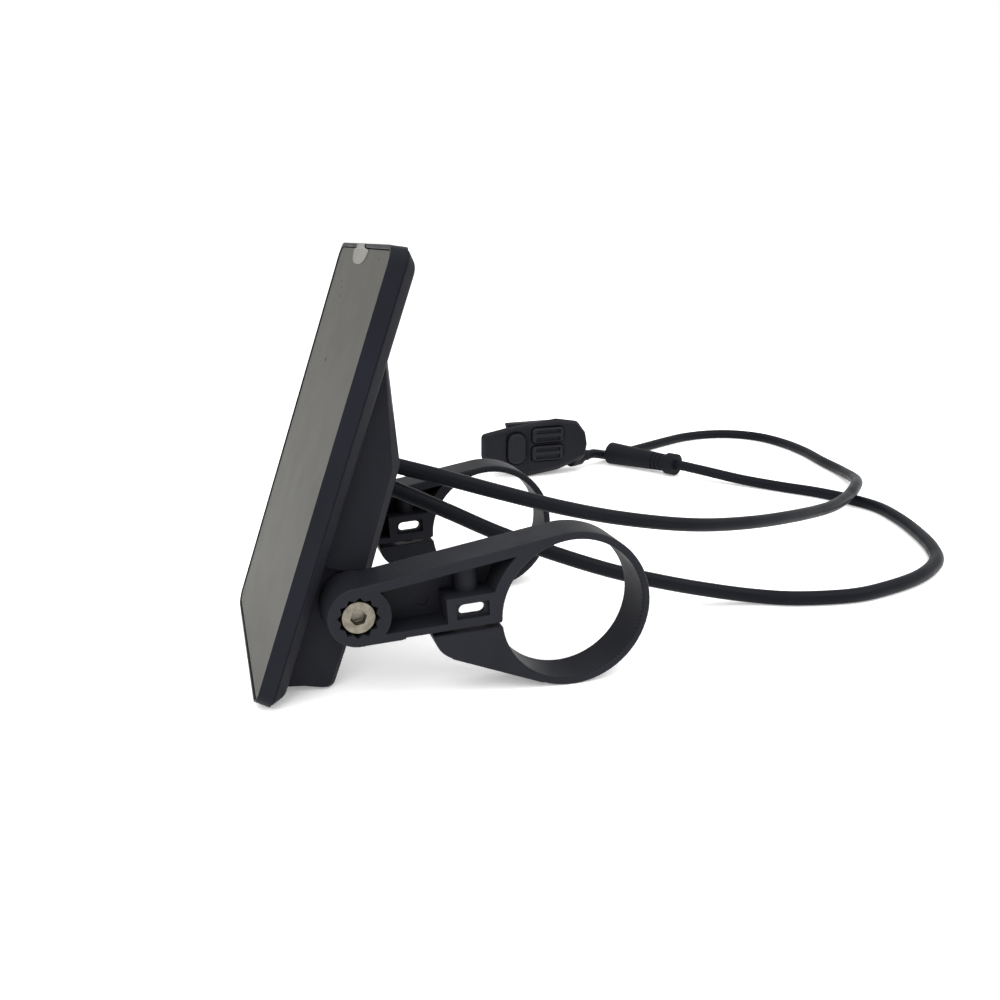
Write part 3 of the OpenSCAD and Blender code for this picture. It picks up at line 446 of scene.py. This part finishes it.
def skin(bm, rings):
    """A closed solid through rings of equal length, capped at both ends."""
    rows = [[bm.verts.new(p) for p in ring] for ring in rings]
    for low, high in zip(rows, rows[1:]):
        for i in range(len(low)):
            k = (i + 1) % len(low)
            bm.faces.new((low[i], low[k], high[k], high[i]))
    bm.faces.new(rows[0][::-1])
    bm.faces.new(rows[-1])


def round_box(half, low, high, r):
    """Outline of a rounded rectangle in the head's width and height."""
    out = []
    for x, s, first in ((half - r, low + r, -90), (half - r, high - r, 0),
                        (r - half, high - r, 90), (r - half, low + r, 180)):
        for i in range(CORNER_STEPS + 1):
            turn = math.radians(first + 90 * i / CORNER_STEPS)
            out.append((x + r * math.cos(turn), s + r * math.sin(turn)))
    return out


def add_film():
    """The thin film over the glass, and its pale tab that climbs over the rim."""
    bm = bmesh.new()
    rings = []
    for d, drawn in FILM_LAYERS:
        outline = round_box(FILM_HALF - drawn, FILM_FOOT + drawn, FILM_TOP - drawn,
                            FILM_CORNER - drawn)
        rings.append([head_point(x, s, d) for x, s in outline])
    skin(bm, rings)
    film = mesh_object("film", bm, "film")
    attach(film, "head")
    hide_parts("screen_film")

    rows = []
    for i in range(TAB_STEPS + 1):
        turn = math.radians(90 * i / TAB_STEPS)
        rows.append((TAB_TOP - TAB_DEEP * math.cos(turn),
                     TAB_HALF * math.sin(turn) ** TAB_FULLNESS + TAB_TIP, TAB_D))
    bm = bmesh.new()
    rings = []
    for s, wide, d in (*rows, *TAB_OVER_RIM):
        left, right = TAB_MIDDLE - wide, TAB_MIDDLE + wide
        rings.append([head_point(left, s, d), head_point(right, s, d),
                      head_point(right, s, d - TAB_T), head_point(left, s, d - TAB_T)])
    skin(bm, rings)
    tab = mesh_object("film_tab", bm, "film_tab")
    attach(tab, "head")

    bm = bmesh.new()
    turns = [2 * math.pi * i / SPECK_SIDES for i in range(SPECK_SIDES)]
    for x, s, r in SPECKS:
        outline = [(x + r * math.cos(a), s + SPECK_TALL * r * math.sin(a)) for a in turns]
        skin(bm, [[head_point(px, ps, d) for px, ps in outline] for d in SPECK_LAYERS])
    specks = mesh_object("film_specks", bm, "speck")
    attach(specks, "head")


FLOOR_R = 6
FLOOR_SIDES = 96
FLOOR_GLOW = 0.25
WHITE = (1, 1, 1, 1)
# Name, kind, place, spread and power of each light: the sun's spread is an angle
LIGHTS = (
    ("day", "SUN", (0.25, -0.30, 1.0), math.radians(80), 0.95),
    ("key", "AREA", (0.55, -0.45, 0.75), 0.7, 5),
    ("back", "AREA", (0.25, 0.60, 0.70), 0.6, 3),
)


def add_stage():
    """A wide white floor under plain soft light."""
    mesh = bpy.data.meshes.new("floor")
    bm = bmesh.new()
    bmesh.ops.create_circle(bm, cap_ends=True, radius=FLOOR_R, segments=FLOOR_SIDES)
    bm.to_mesh(mesh)
    bm.free()
    floor = bpy.data.objects.new("floor", mesh)
    floor.location.z = TABLE_Z
    SCENE.collection.objects.link(floor)
    paper = material("floor", (0.93, 0.93, 0.93), 0.8, spec=0.1, mottle=0.01, grain=0)
    shader = paper.node_tree.nodes["Principled BSDF"]
    shader.inputs["Emission Color"].default_value = WHITE
    shader.inputs["Emission Strength"].default_value = FLOOR_GLOW
    mesh.materials.append(paper)

    world = bpy.data.worlds.new("world")
    world.use_nodes = True
    sky = world.node_tree.nodes["Background"]
    sky.inputs["Color"].default_value = WHITE
    sky.inputs["Strength"].default_value = 1.0
    SCENE.world = world

    for name, kind, place, spread, power in LIGHTS:
        data = bpy.data.lights.new(name, kind)
        data.energy = power
        if kind == "SUN":
            data.angle = spread
        else:
            data.size = spread
        light = bpy.data.objects.new(name, data)
        light.location = place
        light.rotation_euler = (-Vector(place)).to_track_quat("-Z", "Y").to_euler()
        SCENE.collection.objects.link(light)


add_camera()
add_lead("remote_lead", REMOTE_ROUTE, gland_point, s=0.0517)
add_lead("main_lead", MAIN_ROUTE, plug_point, s=0.0462)
add_film()
add_stage()
dress_nodes()
